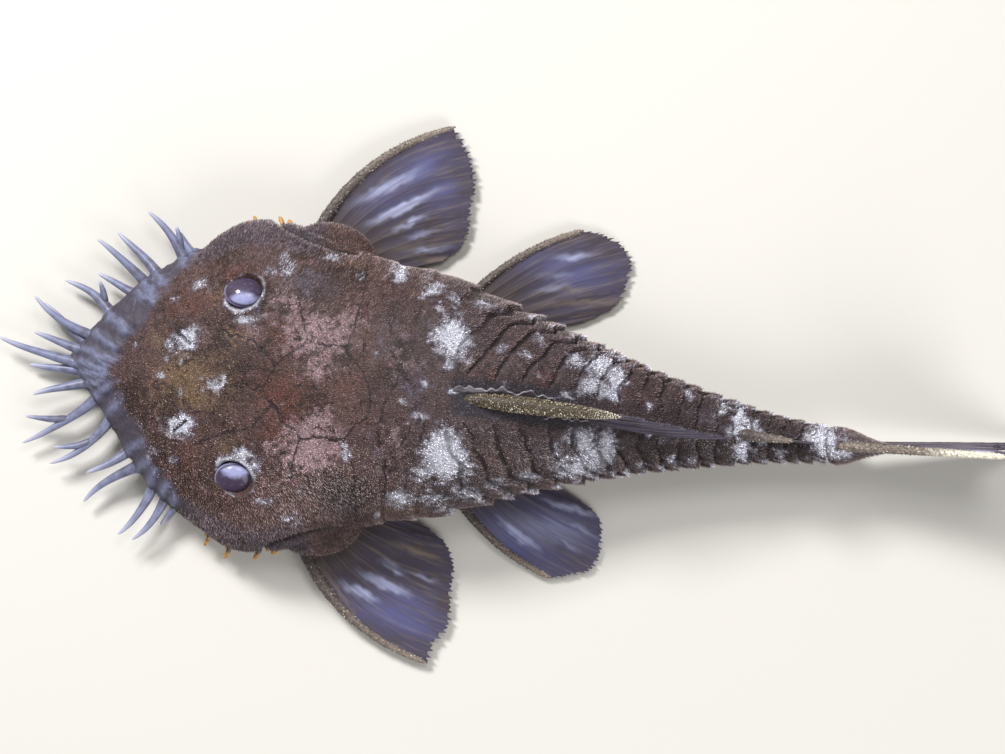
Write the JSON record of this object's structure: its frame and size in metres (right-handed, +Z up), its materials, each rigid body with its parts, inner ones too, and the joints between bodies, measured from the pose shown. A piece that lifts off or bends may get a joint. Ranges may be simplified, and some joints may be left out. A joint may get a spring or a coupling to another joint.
{
  "type": "bristlenose pleco",
  "caption": "Life-size still model of a male bristlenose pleco lying on its belly: wide tentacled snout, rows of body plates, folded back fin, spread paired fins.",
  "frame": {"origin": "on the flat of the belly, on the head's midline, 44 mm behind the snout tip", "axes": "+X from snout to tail, +Y to the fish's right side, +Z up through the back"},
  "size_m": [0.1423, 0.0746, 0.0214],
  "materials": {
    "armour": "matt bony plates set with fine prickles, mottled brown, pink grey and bluish white",
    "bare_skin": "soft damp scaleless skin, lavender grey",
    "fin": "thin grey violet membrane between dotted rays",
    "eye": "wet, pale lilac iris round a dark pupil",
    "lip": "soft and pale, covered in small bumps"
  },
  "bodies": {
    "root": {"snout": "bare_skin", "head": "armour", "cheek_right": "armour", "cheek_left": "armour", "eye_right": "eye", "eye_left": "eye", "mouth": "lip", "trunk": "armour", "tail": "armour", "dorsal_fin": "fin", "adipose_fin": "fin", "anal_fin": "fin", "caudal_fin": "fin", "pectoral_fin_right": "fin", "pectoral_fin_left": "fin", "pelvic_fin_right": "fin", "pelvic_fin_left": "fin"}
  },
  "joints": []
}
